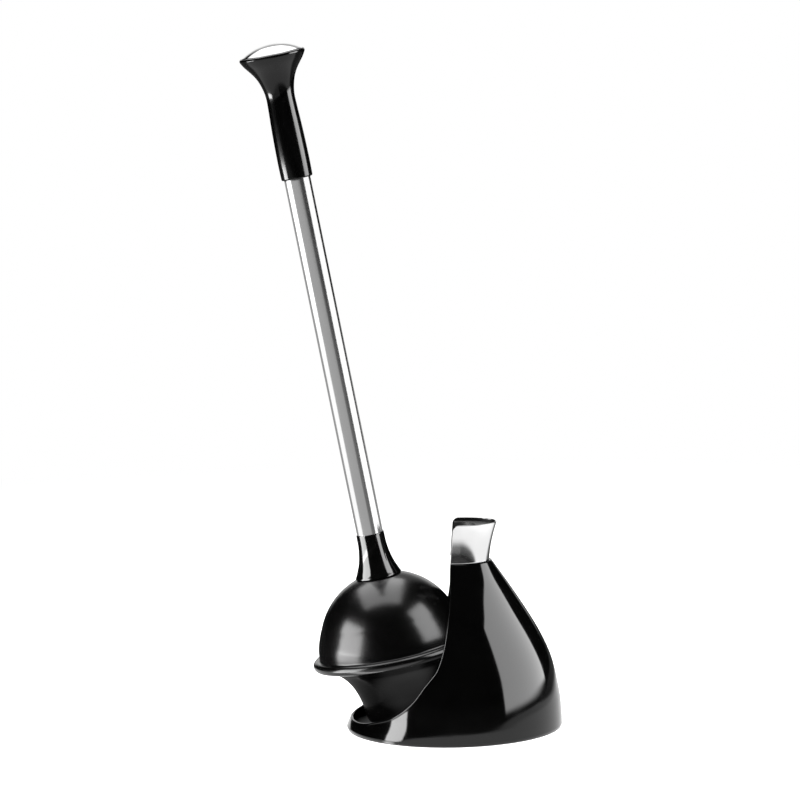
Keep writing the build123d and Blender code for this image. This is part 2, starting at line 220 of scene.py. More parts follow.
# ---------------------------------------------------------------- shader nodes
class Graph:
    """Builds one node tree. An input may be given as a number or as another node's output."""

    def __init__(self, tree):
        self.tree = tree

    def set(self, node, inputs):
        for key, value in inputs.items():
            if isinstance(value, bpy.types.NodeSocket):
                self.tree.links.new(value, node.inputs[key])
            else:
                node.inputs[key].default_value = value

    def add(self, kind, inputs={}, **properties):
        """Returns the outputs of a new node."""
        node = self.tree.nodes.new(kind)
        for key, value in properties.items():
            setattr(node, key, value)
        self.set(node, inputs)
        return node.outputs

    def math(self, operation, *values):
        return self.add("ShaderNodeMath", dict(enumerate(values)), operation=operation)[0]

    def times(self, first, *others):
        for other in others:
            first = self.math("MULTIPLY", first, other)
        return first

    def vector(self, operation, *values):
        return self.add("ShaderNodeVectorMath", dict(enumerate(values)), operation=operation)

    def xyz(self, vector):
        return self.add("ShaderNodeSeparateXYZ", {0: vector})

    def step(self, value, span, out=(0.0, 1.0)):
        """Smooth step from out[0] to out[1] as value crosses the span."""
        return self.add("ShaderNodeMapRange", {
            "Value": value, "From Min": span[0], "From Max": span[1],
            "To Min": out[0], "To Max": out[1]}, interpolation_type="SMOOTHSTEP")["Result"]

    def window(self, value, rise, fall):
        """1 between the spans rise and fall, 0 outside them."""
        return self.times(self.step(value, rise), self.step(value, fall, (1.0, 0.0)))

    def mix(self, base, value, mask):
        return self.add("ShaderNodeMix", {"Factor": mask, "A": base, "B": value},
                        data_type="FLOAT")["Result"]

    def mix_shader(self, mask, base, shader):
        return self.add("ShaderNodeMixShader", {0: mask, 1: base, 2: shader})[0]

    def emission(self, strength):
        return self.add("ShaderNodeEmission", {"Strength": strength})[0]

    def coords(self, **mapping):
        place = self.add("ShaderNodeTexCoord")["Object"]
        return self.add("ShaderNodeMapping", {"Vector": place, **mapping})["Vector"]

    def ramp(self, value, *stops):
        """Grey ramp; stops are (position, brightness)."""
        node = self.tree.nodes.new("ShaderNodeValToRGB")
        elements = node.color_ramp.elements
        while len(elements) < len(stops):
            elements.new(0.5)
        for element, (position, grey) in zip(elements, stops):
            element.position = position
            element.color = (grey, grey, grey, 1)
        self.set(node, {"Fac": value})
        return node.outputs["Color"]

    def noise(self, place, scale, detail, rough=0.5):
        return self.add("ShaderNodeTexNoise", {
            "Vector": place, "Scale": scale, "Detail": detail, "Roughness": rough})["Fac"]

    def bump(self, height, strength, distance, **under):
        return self.add("ShaderNodeBump", {
            "Height": height, "Strength": strength, "Distance": distance, **under})["Normal"]


def new_material(name):
    material = bpy.data.materials.new(name)
    material.use_nodes = True
    return material, Graph(material.node_tree), material.node_tree.nodes["Principled BSDF"]


# ---------------------------------------------------------------- materials
# base is the base colour's grey, rough the range of roughness; ramps spread both over a noise
def gloss_plastic(name, base, rough, skin, specular):
    """Moulded gloss black: faint mottling, haze in the roughness, very fine skin."""
    material, graph, bsdf = new_material(name)
    place = graph.coords()
    mottle = graph.noise(place, scale=38.0, detail=3.0)
    haze = graph.noise(place, scale=900.0, detail=5.0, rough=0.6)
    hazed = graph.math("MULTIPLY_ADD", haze, 0.35, mottle)
    ripple = graph.noise(place, scale=420.0, detail=2.0)
    graph.set(bsdf, {
        "Base Color": graph.ramp(mottle, (0.3, base * 0.8), (0.7, base * 1.25)),
        "Roughness": graph.ramp(hazed, (0.45, rough[0]), (0.95, rough[1])),
        "Specular IOR Level": specular,
        "Normal": graph.bump(ripple, strength=skin, distance=0.00003)})
    return material


def satin_plastic(name, base, rough=(0.36, 0.48), grain=0.12):
    """Satin black with a fine cell grain."""
    material, graph, bsdf = new_material(name)
    place = graph.coords()
    mottle = graph.noise(place, scale=60.0, detail=4.0)
    cells = graph.add("ShaderNodeTexVoronoi", {"Vector": place, "Scale": 1900.0})["Distance"]
    graph.set(bsdf, {
        "Base Color": graph.ramp(mottle, (0.3, base * 0.8), (0.7, base * 1.3)),
        "Roughness": graph.ramp(mottle, (0.3, rough[0]), (0.7, rough[1])),
        "Normal": graph.bump(cells, strength=grain, distance=0.00008)})
    return material


def rubber(name, base):
    """Moulded rubber: satin with a paler waxy bloom, fine skin over soft unevenness."""
    material, graph, bsdf = new_material(name)
    place = graph.coords()
    bloom = graph.noise(place, scale=26.0, detail=5.0, rough=0.6)
    skin = graph.noise(place, scale=700.0, detail=4.0, rough=0.6)
    uneven = graph.noise(place, scale=90.0, detail=3.0)
    worn = graph.math("MULTIPLY_ADD", skin, 0.3, bloom)
    skin_normal = graph.bump(skin, strength=0.18, distance=0.0001)
    graph.set(bsdf, {
        "Base Color": graph.ramp(bloom, (0.25, base * 0.75), (0.55, base), (0.85, base * 2.0)),
        "Roughness": graph.ramp(worn, (0.4, 0.16), (0.95, 0.25)),
        "Specular IOR Level": 0.36,
        "Normal": graph.bump(uneven, strength=0.12, distance=0.0006, Normal=skin_normal)})
    return material


def metal(name, base, rough, brush, **stretch):
    """Metal with fine brushing; stretch is the mapping that draws the scratches out."""
    material, graph, bsdf = new_material(name)
    scratches = graph.noise(graph.coords(**stretch), scale=2600.0, detail=3.0, rough=0.6)
    tarnish = graph.noise(graph.coords(), scale=30.0, detail=3.0)
    worn = graph.math("MULTIPLY_ADD", scratches, 0.6, tarnish)
    graph.set(bsdf, {
        "Base Color": graph.ramp(tarnish, (0.3, base * 0.94), (0.7, base)),
        "Roughness": graph.ramp(worn, (0.5, rough[0]), (1.05, rough[1])),
        "Metallic": 1.0,
        "Normal": graph.bump(scratches, strength=brush, distance=0.00002)})
    return material


shell_black = gloss_plastic("caddy_gloss_black", base=0.0009, rough=(0.05, 0.10), skin=0.04,
                            specular=0.34)
grip_black = gloss_plastic("grip_gloss_black", base=0.0011, rough=(0.10, 0.17), skin=0.05,
                           specular=0.36)
neck_black = gloss_plastic("neck_gloss_black", base=0.0011, rough=(0.07, 0.13), skin=0.05,
                           specular=0.5)
liner_black = satin_plastic("liner_satin_black", base=0.010)
floor_black = satin_plastic("well_satin_black", base=0.008)
cup_rubber = rubber("cup_rubber", base=0.0009)
pad_rubber = satin_plastic("pad_rubber", base=0.02, rough=(0.6, 0.8), grain=0.3)
tube_steel = metal("tube_steel", base=0.86, rough=(0.10, 0.17), brush=0.04,
                   Rotation=(0, LEAN, 0), Scale=(1, 1, 0.01))
collar_steel = metal("collar_steel", base=0.9, rough=(0.08, 0.14), brush=0.04,
                     Scale=(0.02, 0.02, 1))
cap_steel = metal("cap_polished_steel", base=0.92, rough=(0.05, 0.10), brush=0.01)
zinc = metal("zinc_plated_steel", base=0.62, rough=(0.28, 0.42), brush=0.1)
nickel = metal("nickel_plated_magnet", base=0.72, rough=(0.15, 0.25), brush=0.02)
iron = satin_plastic("painted_iron", base=0.05, rough=(0.55, 0.7), grain=0.5)
foam = satin_plastic("foam_pad", base=0.4, rough=(0.8, 0.95), grain=0.6)

# CAD pieces that keep their own mesh
for material, names in (
        (liner_black, "magnet_plug collar_liner"),
        (floor_black, "base_floor"),
        (zinc, "collar_screws base_screws ballast_rivets grip_screw grip_washer upper_plug"
               " lower_plug cross_pin cup_stud clamp_washer cup_nut"),
        (iron, "ballast_plate"),
        (pad_rubber, "base_pad neck_seal"),
        (nickel, "latch_magnet"),
        (foam, "cap_pad")):
    for name in names.split():
        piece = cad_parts[name]
        if len(piece.material_slots) == 0:
            piece.data.materials.append(material)
        for slot in piece.material_slots:
            slot.material = material

# ---------------------------------------------------------------- caddy shell
# height, reach to +X, half width in Y, x of the widest place, reach to -X
STATIONS = np.array([
    (2.6, 91.6, 89.0, 0.0, 90.2), (8.0, 91.5, 88.8, 0.0, 87.9), (14.0, 91.2, 88.2, 0.0, 85.0),
    (22.0, 90.7, 87.2, 0.0, 83.4), (38.0, 88.2, 84.8, 0.0, 81.2), (55.0, 84.3, 80.7, 0.0, 79.0),
    (72.4, 77.5, 74.0, 0.5, 74.0), (90.0, 68.2, 64.9, 1.5, 66.0), (107.5, 57.3, 53.5, 3.0, 56.0),
    (125.0, 45.8, 39.6, 5.0, 44.0), (134.0, 39.6, 30.6, 7.0, 35.0), (142.0, 34.2, 22.5, 8.0, 27.0)])
TUCK_TOP = STATIONS[0, 0]

# x, z of the cut that opens the shell to -X, seen along Y
CUT = np.array([
    (-92, 10.2), (-83, 10.6), (-77, 11.6), (-66.7, 15.3), (-51.8, 21.7), (-34.5, 35.4),
    (-23.7, 49.3), (-12.8, 63.2), (-7.1, 79.7), (-4.6, 92), (-1.2, 115), (-0.6, 130),
    (0.1, SHELL_TOP)])

# heights of the rows of vertices below the cut
LOW_ROWS = (SHELL_LOW, 0.95, 1.15, 1.4, 1.7, 2.1, TUCK_TOP, 3.3, 4.6, 6.2)


def station_curve(column, tuck):
    outline = cubic(STATIONS[:, 0], STATIONS[:, column])

    def at(z):
        drawn_in = max(0.0, (TUCK_TOP - z) / (TUCK_TOP - SHELL_LOW))
        return float(outline(z)) - tuck * drawn_in**2
    return at


def rim_line():
    """The cut set back into the wall by RIM_R: height, x, and the x and z of its outward normal,
    which points to -X and up."""
    z = chain((CUT[0, 1], 12.0, 60), (12.0, 24.0, 60), (24, SHELL_TOP, 170))
    x = monotone(CUT[:, 1], CUT[:, 0])(z)
    step_x, step_z = np.gradient(x), np.gradient(z)
    length = np.hypot(step_x, step_z)
    normal_x, normal_z = -step_z / length, step_x / length
    rows = np.column_stack((z - normal_z * RIM_R, x - normal_x * RIM_R, normal_x, normal_z))
    rows = rows[np.r_[True, np.diff(rows[:, 0]) > 1e-4]]
    return rows[np.argsort(rows[:, 0])].T


def shell_mesh():
    reach_closed = station_curve(1, SHELL_TUCK)
    half_width = station_curve(2, SHELL_TUCK)
    middle = station_curve(3, 0.0)
    reach_open = station_curve(4, SHELL_TUCK)
    rim_z, rim_x, normal_x, normal_z = rim_line()
    cut_low = rim_z[0]
    heights = np.r_[LOW_ROWS, chain((7.6, cut_low, 4), (cut_low, cut_low + 2.2, 70),
                                    (cut_low + 2.2, 22, 40), (22, SHELL_TOP, 110))]
    bm = bmesh.new()
    outer, inner, rims = [], [], []
    for z in heights:
        mid = middle(z)
        rows = []
        for inset in (0.0, SHELL_WALL):
            closed = reach_closed(z) - mid - inset
            opened = reach_open(z) + mid - inset
            half = half_width(z) - inset
            sweep = math.pi             # half the angle the wall covers, from +X
            if z > cut_low + 1e-9:
                x = float(np.interp(z, rim_z, rim_x))
                cosine = (x - mid) / (closed if x > mid else opened)
                sweep = math.acos(max(-1.0, min(1.0, cosine)))
            row = []
            for k in range(SHELL_ARC_STEPS + 1):
                angle = -sweep + 2 * sweep * k / SHELL_ARC_STEPS
                reach = closed if math.cos(angle) > 0 else opened
                row.append(Vector((mid + reach * math.cos(angle), half * math.sin(angle), z)))
            rows.append(row)
        outer.append([bm.verts.new(p * MM) for p in rows[0]])
        inner.append([bm.verts.new(p * MM) for p in rows[1]])
        rim = []
        if z >= cut_low - 1e-9:
            normal = Vector((np.interp(z, rim_z, normal_x), 0, np.interp(z, rim_z, normal_z)))
            for side in (0, -1):
                arc = half_round(bm, rows[0][side], rows[1][side], normal * RIM_R, 8)
                rim.append([outer[-1][side], *arc, inner[-1][side]])
        rims.append(rim)

    for i in range(len(heights) - 1):
        bridge_walls(bm, outer, inner, i)
        for rim, next_rim in zip(rims[i], rims[i + 1]):
            bridge(bm, rim, next_rim)
    bridge(bm, outer[0][::-1], inner[0][::-1])
    bridge(bm, outer[-1], inner[-1])
    for rim in rims[-1]:
        bm.faces.new(rim)
    return to_object("caddy_body", bm, merge=2e-6)


caddy = fit(shell_mesh(), shell_black, "caddy", "caddy_shell")

# ---------------------------------------------------------------- steel collar
# heights of its rows of vertices above COLLAR_LOW
COLLAR_ROWS = (
    0, 0.15, 0.4, 0.8, 2, 5, 9, 13, 17, 21, 24, 26, 27.2, 28.2, 29, 29.8, 30.5, 31.0, 31.4, 31.75,
    32.05, 32.3, COLLAR_TOP - COLLAR_LOW)


def u_outline(closed_x, middle_x, half, open_x, z, arc_steps=72, side_steps=14):
    """U open to -X: a side, a half ellipse round +X, the other side."""
    side = [open_x + (middle_x - open_x) * k / side_steps for k in range(side_steps)]
    points = [(x, -half) for x in side]
    for k in range(arc_steps + 1):
        angle = -math.pi / 2 + math.pi * k / arc_steps
        points.append((middle_x + (closed_x - middle_x) * math.cos(angle),
                       half * math.sin(angle)))
    points += [(x, half) for x in reversed(side)]
    return [Vector((x, y, z)) for x, y in points]


def collar_mesh():
    """Bent sheet, waisted, with its two free ends on the -X side."""
    height = COLLAR_TOP - COLLAR_LOW
    outer_points, inner_points = [], []
    for rise in COLLAR_ROWS:
        share = rise / height
        waist = 4.4 * share * (1 - share)
        closed_x = 32.4 + 7.0 * share - waist
        middle_x = 8.0 + 1.5 * share
        half = 22.5 + 0.3 * share - waist
        open_x = 0.1 + 2.8 * share
        # rounded top corners of the free ends
        into_corner = rise - (height - COLLAR_CORNER_R)
        if into_corner > 0:
            across = math.sqrt(max(COLLAR_CORNER_R**2 - into_corner**2, 0.0))
            open_x += COLLAR_CORNER_R - across
        # rounded lower and upper edges
        into_edge = COLLAR_EDGE_R - min(rise, height - rise, COLLAR_EDGE_R)
        cut = COLLAR_EDGE_R - math.sqrt(max(COLLAR_EDGE_R**2 - into_edge**2, 0))
        for rows, inset in ((outer_points, cut), (inner_points, COLLAR_WALL - cut)):
            rows.append(u_outline(closed_x - inset, middle_x, half - inset, open_x,
                                  COLLAR_LOW + rise))
    bm = bmesh.new()
    outer = [[bm.verts.new(p * MM) for p in row] for row in outer_points]
    inner = [[bm.verts.new(p * MM) for p in row] for row in inner_points]
    bulge = Vector((-COLLAR_EDGE_R, 0, 0))
    ends = []
    for i in range(len(outer)):
        pair = []
        for side in (0, -1):
            arc = half_round(bm, outer_points[i][side], inner_points[i][side], bulge, 4)
            pair.append([outer[i][side], *arc, inner[i][side]])
        ends.append(pair)
    for i in range(len(outer) - 1):
        bridge_walls(bm, outer, inner, i)
    for pair, next_pair in zip(ends, ends[1:]):
        for end, next_end in zip(pair, next_pair):
            bridge(bm, end, next_end)
    for i in (0, -1):
        bridge(bm, outer[i], inner[i])
        for end in ends[i]:
            bm.faces.new(end)
    return to_object("collar", bm)


def line_collar(ob):
    """Puts the dark lining on the inward side of the wall."""
    ob.data.materials.append(liner_black)
    for face in ob.data.polygons:
        centre = face.center / MM
        axis_x = 8.0 if centre.x < 9.5 else 9.0
        inward = Vector((min(axis_x - centre.x, 0.0), -centre.y, 0.0))
        if centre.z < LINING_TOP and face.normal.dot(inward.normalized()) > 0.5:
            face.material_index = 1


collar = fit(collar_mesh(), collar_steel, "caddy", "collar_sleeve")
line_collar(collar)


# ---------------------------------------------------------------- plunger
# profiles are (radius, height along the plunger axis)
def grip_mesh():
    """Slim sleeve that flares into a knob, recessed on top for the cap."""
    low_edge = [(SLEEVE_R, 20), (SLEEVE_R, 0.25), (11.3, 0.05), (11.6, 0), (12.2, 0),
                (12.6, 0.1), (12.9, 0.35), (13.08, 0.75)]
    side = dense([
        (13.15, GRIP_LOW + 1.2), (13.34, 474.21), (13.2, 490.65), (12.76, 507.67),
        (12.33, 517.72), (12.04, 525.46), (12.04, 532.71), (12.57, 536.87), (13.49, 540.93),
        (14.8, 545.19), (16.63, 549.34), (19.19, 553.5), (22.34, 557.66), (25.43, 561.82),
        (27.3, 565.1)], 0.9)
    rim = [(27.5, 565.7), (27.58, 566.3), (27.5, 566.9), (27.25, 567.4), (26.8, 567.8),
           (26.3, 568.0), (25.95, 567.95), (25.75, 567.7), (25.7, 567.2), (25.7, 566.4)]
    bore = [(25.5, 566.27), (25.0, 566.27), (6.9, 566.27), (6.6, 566.0), (6.6, 532.4),
            (6.4, 532.23), (3.4, 532.23), (3.2, 532.0), (3.2, 517.0), (3.4, 516.76),
            (11.0, 516.76), (SLEEVE_R, 516.6)]
    low_edge = [(radius, GRIP_LOW + rise) for radius, rise in low_edge]
    return lathe("handle_grip_body", low_edge + side + rim + bore)


def cap_mesh():
    """Thin dome with a turned-down edge."""
    upper = dense([(0.0, 575.9), (4.4, 575.7), (8.7, 575.1), (13.2, 574.1), (17.4, 572.6),
                   (21.4, 570.7), (24.9, 568.6)], 0.8)
    edge = [(25.2, 568.38), (25.42, 568.1), (25.53, 567.75), (25.53, 567.1), (25.45, 566.9),
            (25.25, 566.86), (24.6, 566.86), (24.4, 566.95), (24.37, 567.2)]
    lower = dense([(24.2, 567.6), (20.6, 569.7), (16.83, 571.45), (12.8, 572.9), (8.5, 573.85),
                   (4.3, 574.5), (0.0, 574.7)], 1.2)
    return lathe("knob_cap_dome", upper + edge + lower)


def tube_mesh():
    """Straight tube with small chamfers on its outer edges."""
    length, chamfer = TUBE_TOP - TUBE_LOW, 0.2
    profile = [(TUBE_INNER_R, TUBE_LOW + k * length / 12) for k in range(12, -1, -1)]
    profile += [(TUBE_R - chamfer, TUBE_LOW), (TUBE_R, TUBE_LOW + chamfer)]
    profile += [(TUBE_R, TUBE_LOW + k * length / 24) for k in range(1, 24)]
    profile += [(TUBE_R, TUBE_TOP - chamfer), (TUBE_R - chamfer, TUBE_TOP)]
    return lathe("shaft", profile, 192)


def neck_mesh():
    """Sleeve round the foot of the shaft, flaring down to the cup."""
    bore = [(4.3, 129.9), (11.2, 129.9), (SLEEVE_R, 130.2), (SLEEVE_R, NECK_TOP - 0.2)]
    top_edge = [(11.25, NECK_TOP), (11.45, NECK_TOP), (11.65, NECK_TOP - 0.15),
                (11.75, NECK_TOP - 0.4)]
    side = dense([
        (11.78, NECK_TOP - 0.8), (11.85, 151), (12.0, 147.7), (12.4, 144.2), (12.9, 140.8),
        (13.6, 137.4), (14.5, 133.9), (15.65, 130.5), (17.1, 127), (18.6, 123.6),
        (19.35, 122.2)], 0.8)
    foot = [(19.42, 121.8), (19.4, 121.45), (19.25, 121.25), (18.9, 121.2), (18.1, 121.2),
            (17.9, 121.3), (17.9, 121.7), (17.8, 121.8), (4.5, 121.8), (4.3, 122.0)]
    return lathe("neck", bore + top_edge + side + foot)


def sphere_arc(radius, start, end, steps):
    """Profile points on a circle about the dome's centre, from angle start to end."""
    angles = [start + (end - start) * k / steps for k in range(steps + 1)]
    return [(radius * math.cos(a), DOME_CENTRE + radius * math.sin(a)) for a in angles]


def cup_mesh():
    """Dome, creased lip bead and funnel, hollow and open below."""
    crown_r, dome_low = 18.2, 86.0
    dome = sphere_arc(DOME_R, math.acos(crown_r / DOME_R),
                      math.asin((dome_low - DOME_CENTRE) / DOME_R), 48)
    dome += dense([dome[-1], (57.85, 82.0), (59.4, 78.0), (60.7, 74.2), (61.75, 70.4),
                   (62.45, 67.0), (62.8, 63.8), (62.95, 61.0)], 0.9)[1:]
    lip = dense([
        (62.98, 60.6), (63.25, 60.0), (63.9, 59.6), (65.0, 59.6), (66.4, 59.5), (67.7, 58.8),
        (68.7, 57.5), (69.2, 55.7), (69.0, 54.1), (68.3, 52.8), (67.2, 52.0), (65.8, 51.6),
        (64.2, 51.65), (63.0, 51.85), (61.6, 51.7), (59.7, 50.9), (57.4, 49.7)], 0.35)
    funnel = dense([
        (57.4, 49.7), (54.9, 48.2), (52.3, 46.4), (49.2, 44.1), (46.0, 40.9), (42.6, 36.5),
        (39.9, 31.8), (37.4, 25.8), (35.8, 20.2), (34.6, 15.0), (34.1, 11.0), (33.7, 6.5),
        (33.3, 4.2), (32.6, 2.2), (31.6, 0.8), (30.4, 0.15), (29.6, 0.1), (29.0, 0.5)], 0.6)[1:]
    inside_top = 65.0
    inside = dense([
        (28.9, 0.9), (29.6, 2.6), (30.3, 6.0), (30.7, 13.8), (32.2, 21.2), (36.4, 33.6),
        (42.2, 43.4), (48.6, 49.8), (54.0, 54.6), (56.6, 60.5), (57.2, inside_top)], 1.2)
    # the roof inside follows the dome and sags slightly towards its crown
    roof_r, roof_crown_r, roof_steps, sag = DOME_R - 3.2, 24.0, 40, 0.5
    roof = sphere_arc(roof_r, math.asin((inside_top - DOME_CENTRE) / roof_r),
                      math.acos(roof_crown_r / roof_r), roof_steps)
    roof = [(r, h - sag * (k / roof_steps)**3) for k, (r, h) in enumerate(roof)][1:]
    hub = [(20.5, 115.4), (17.0, 115.0), (10, 115.0), (4.4, 115.0), (4.3, 115.2), (4.3, 120.8),
           (4.5, 120.98), (10, 120.99), (17.9, 120.99)]
    return lathe("rubber_cup_soft", dome + lip + funnel + inside + roof + hub, 224)


grip = fit(grip_mesh(), grip_black, "plunger", "handle_grip")
cap = fit(cap_mesh(), cap_steel, "plunger", "knob_cap")
tube = fit(tube_mesh(), tube_steel, "plunger", "shaft_tube")
neck = fit(neck_mesh(), neck_black, "plunger", "neck_connector")
cup = fit(cup_mesh(), cup_rubber, "plunger", "rubber_cup")
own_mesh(cup)


# ---------------------------------------------------------------- stage
def floor_mesh():
    bm = bmesh.new()
    places = np.linspace(-14, 14, 15)
    rows = [[bm.verts.new((x, y, -0.0002)) for x in places] for y in places]
    for row, next_row in zip(rows, rows[1:]):
        bridge(bm, row, next_row)
    return to_object("stage_floor", bm)


def painted_table_reflection(graph, place):
    """Painted reflection: the floor's glow in reflections, by place on it and by length of the ray.
    """
    x, y, _ = graph.xyz(place)
    ray = graph.add("ShaderNodeLightPath")["Ray Length"]
    # painted glow: on the -Y side it is paler to the left, ends at a distance, and is dark for long
    # rays
    side = graph.step(x, (-0.06, 0.02), (0.40, 0.07))
    reach = graph.step(y, (-0.95, -0.62))
    front = graph.math("MULTIPLY_ADD", reach, graph.math("SUBTRACT", 1.0, side), side)
    front = graph.times(front, graph.step(ray, (2.22, 2.40), (1.0, 0.06)))
    # for short rays on the left it ends sooner
    close = graph.step(y, (-0.46, -0.26), (0.03, 1.0))
    short = graph.times(graph.step(ray, (0.45, 0.52), (1.0, 0.0)),
                        graph.step(x, (-0.03, 0.0), (1.0, 0.0)))
    front = graph.math("ADD", graph.times(front, graph.math("SUBTRACT", 1.0, short)),
                       graph.times(close, short))
    back = graph.step(y, (0.24, 0.42), (1.0, 0.10))
    # a painted highlight: a bright wedge to the left, between two slanting lines, for near rays
    leftward = graph.times(x, -1.0)
    wedge_high = graph.math("MULTIPLY_ADD", leftward, -0.275, -0.0488)
    wedge_low = graph.math("MULTIPLY_ADD", leftward, -0.583, -0.0455)
    wedge_edge = (-0.001, 0.006)
    below_high = graph.step(graph.math("SUBTRACT", wedge_high, y), wedge_edge)
    above_low = graph.step(graph.math("SUBTRACT", y, wedge_low), wedge_edge)
    near = graph.step(ray, (0.12, 0.30), (1.0, 0.0))
    painted_streak = graph.times(graph.times(below_high, above_low),
                         graph.times(near, graph.step(leftward, (0.030, 0.045))))
    table = graph.math("ADD", graph.times(front, back), graph.times(painted_streak, 6.0))
    # painted: short rays see the glow up to 1.45 times as bright
    table = graph.times(table, graph.step(ray, (0.28, 0.45), (1.45, 1.0)))
    return painted_reflection_by_part(graph, table, ray)


# painted reflection: azimuth in degrees, brightness of the bands the floor glows with for rays from
# the shaft
PAINTED_TUBE_BANDS = (
    (-180, 0.34), (-117, 0.34), (-111, 1.18), (-64, 1.18), (-57, 0.42), (18, 0.40), (26, 0.17),
    (51, 0.17), (57, 1.18), (110, 1.18), (116, 0.34))
BAND_SCALE = 1.25                   # keeps the ramp's colours below 1


def painted_reflection_by_part(graph, table, ray):
    """Paints reflections into the floor's glow by the place on the plunger that the ray comes from:
    bands for the shaft, painted shade (a dark floor) for dome and neck with painted highlights
    carrying the side boxes on, a dim painted glow for the funnel."""
    geometry = graph.add("ShaderNodeNewGeometry")
    incoming = geometry["Incoming"]     # points back along the ray
    origin = graph.vector("MULTIPLY_ADD", incoming, ray, geometry["Position"])[0]
    back_x, back_y, back_z = graph.xyz(incoming)
    # heading of the ray: 0 towards -Y, 90 towards +X
    azimuth = graph.times(graph.math("ARCTAN2", graph.times(back_x, -1.0), back_y), 57.29578)
    # height along the plunger axis and radius from it
    offset = graph.vector("SUBTRACT", origin, FOOT * MM)[0]
    height = graph.vector("DOT_PRODUCT", offset, (AXIS_X, 0, AXIS_Z))["Value"]
    length = graph.vector("LENGTH", offset)["Value"]
    square = graph.math("SUBTRACT", graph.times(length, length), graph.times(height, height))
    radius = graph.math("SQRT", graph.math("MAXIMUM", square, 0.0), 0.0)

    def within(inner, outer):
        return graph.step(radius, (inner, outer), (1.0, 0.0))

    # shaft: painted reflection bands
    on_tube = graph.times(
        graph.window(height, rise=(0.148, 0.152), fall=(0.4610, 0.4625)), within(0.0125, 0.0135))
    turn = graph.add("ShaderNodeMapRange", {
        "Value": azimuth, "From Min": -180.0, "From Max": 180.0})["Result"]
    stops = [((angle + 180.0) / 360.0, grey / BAND_SCALE) for angle, grey in PAINTED_TUBE_BANDS]
    painted_bands = graph.times(graph.ramp(turn, *stops), BAND_SCALE)
    out = graph.mix(table, painted_bands, on_tube)
    # dome and lip: the dome reflects painted shade (a near black floor); both get a painted
    # highlight carrying the left box on, 1.3 times as bright on the lip
    near_axis = within(0.0705, 0.0715)
    on_dome = graph.times(
        graph.window(height, rise=(0.0560, 0.0590), fall=(0.121, 0.122)), near_axis)
    on_lip = graph.times(
        graph.window(height, rise=(0.0495, 0.0510), fall=(0.0590, 0.0600)), near_axis)
    out = graph.mix(out, 0.03, on_dome)
    painted_left_box_glow = graph.times(
        graph.window(azimuth, rise=(-101.0, -90.0), fall=(-60.0, -48.0)),
        graph.step(back_z, (0.24, 0.36), (12.0, 0.0)))
    on_both = graph.math("ADD", on_dome, graph.times(on_lip, 1.3))
    out = graph.math("ADD", out, graph.times(painted_left_box_glow, on_both))
    # neck: painted shade (a near black floor) with painted highlights carrying the side boxes on
    on_neck = graph.times(
        graph.window(height, rise=(0.1212, 0.1216), fall=(0.1578, 0.1582)),
        within(0.0205, 0.0215))
    left_side = graph.window(azimuth, rise=(-101.0, -93.0), fall=(-52.0, -45.0))
    right_side = graph.window(azimuth, rise=(46.0, 52.0), fall=(92.0, 99.0))
    painted_neck_highlights = graph.math("ADD", graph.times(left_side, 14.0), graph.times(right_side, 9.0))
    out = graph.mix(out, graph.math("ADD", painted_neck_highlights, 0.02), on_neck)
    # funnel, inside a cone that widens upwards: a dim painted glow in its reflection
    cone = graph.math("MULTIPLY_ADD", height, 0.5, 0.038)
    on_funnel = graph.times(
        graph.window(height, rise=(0.001, 0.002), fall=(0.0495, 0.0510)),
        graph.step(graph.math("SUBTRACT", radius, cone), (-0.001, 0.0), (1.0, 0.0)))
    return graph.mix(out, 0.20, on_funnel)


def stage_material():
    """White floor: near white with a soft shadow to the camera; for glossy rays it glows with
    painted reflections.
    """
    material, graph, bsdf = new_material("stage_white")
    place = graph.coords()
    cloud = graph.noise(place, scale=3.0, detail=2.0)
    graph.set(bsdf, {
        "Base Color": graph.ramp(cloud, (0.3, 0.80), (0.7, 0.83)),
        "Roughness": 0.6,
        "Specular IOR Level": 0.1})
    # painted reflections: the floor glows with these for glossy rays only
    table = graph.emission(painted_table_reflection(graph, place))
    # seen directly: lifted by a glow, fading to plain white away from the middle
    lifted = graph.add("ShaderNodeAddShader", {0: bsdf.outputs[0], 1: graph.emission(0.74)})[0]
    distance = graph.vector("LENGTH", place)["Value"]
    seen = graph.mix_shader(graph.step(distance, (0.45, 1.5)), lifted, graph.emission(1.0))
    dull = graph.add("ShaderNodeBsdfDiffuse", {"Color": (0.5, 0.5, 0.5, 1)})[0]
    path = graph.add("ShaderNodeLightPath")
    unseen = graph.mix_shader(path["Is Glossy Ray"], dull, table)
    graph.set(material.node_tree.nodes["Material Output"], {
        "Surface": graph.mix_shader(path["Is Camera Ray"], unseen, seen)})
    material.cycles.emission_sampling = "NONE"
    return material


def build_world():
    """White to the camera; in reflections white paper on the +Y side and a dim room."""
    world = bpy.data.worlds.new("studio")
    bpy.context.scene.world = world
    world.use_nodes = True
    graph = Graph(world.node_tree)
    _, y, z = graph.xyz(graph.add("ShaderNodeTexCoord")["Generated"])
    level = graph.math("SQRT", graph.math("SUBTRACT", 1.0001, graph.times(z, z)), 0.0)
    # the paper darkens upwards; so does the room, which is also darker towards +Y
    paper = graph.times(graph.step(graph.math("DIVIDE", y, level), (0.90, 0.975)),
                        graph.step(z, (0.18, 0.45), (1.0, 0.40)))
    room = graph.times(graph.step(z, (0.03, 0.14), (0.045, 0.006)),
                       graph.step(y, (-0.2, 0.2), (1.0, 0.08)))
    path = graph.add("ShaderNodeLightPath")
    ambient = 0.15
    unseen = graph.mix(ambient, graph.math("MAXIMUM", paper, room), path["Is Glossy Ray"])
    graph.set(world.node_tree.nodes["Background"], {
        "Color": (1, 1, 1, 1),
        "Strength": graph.mix(unseen, 1.0, path["Is Camera Ray"])})


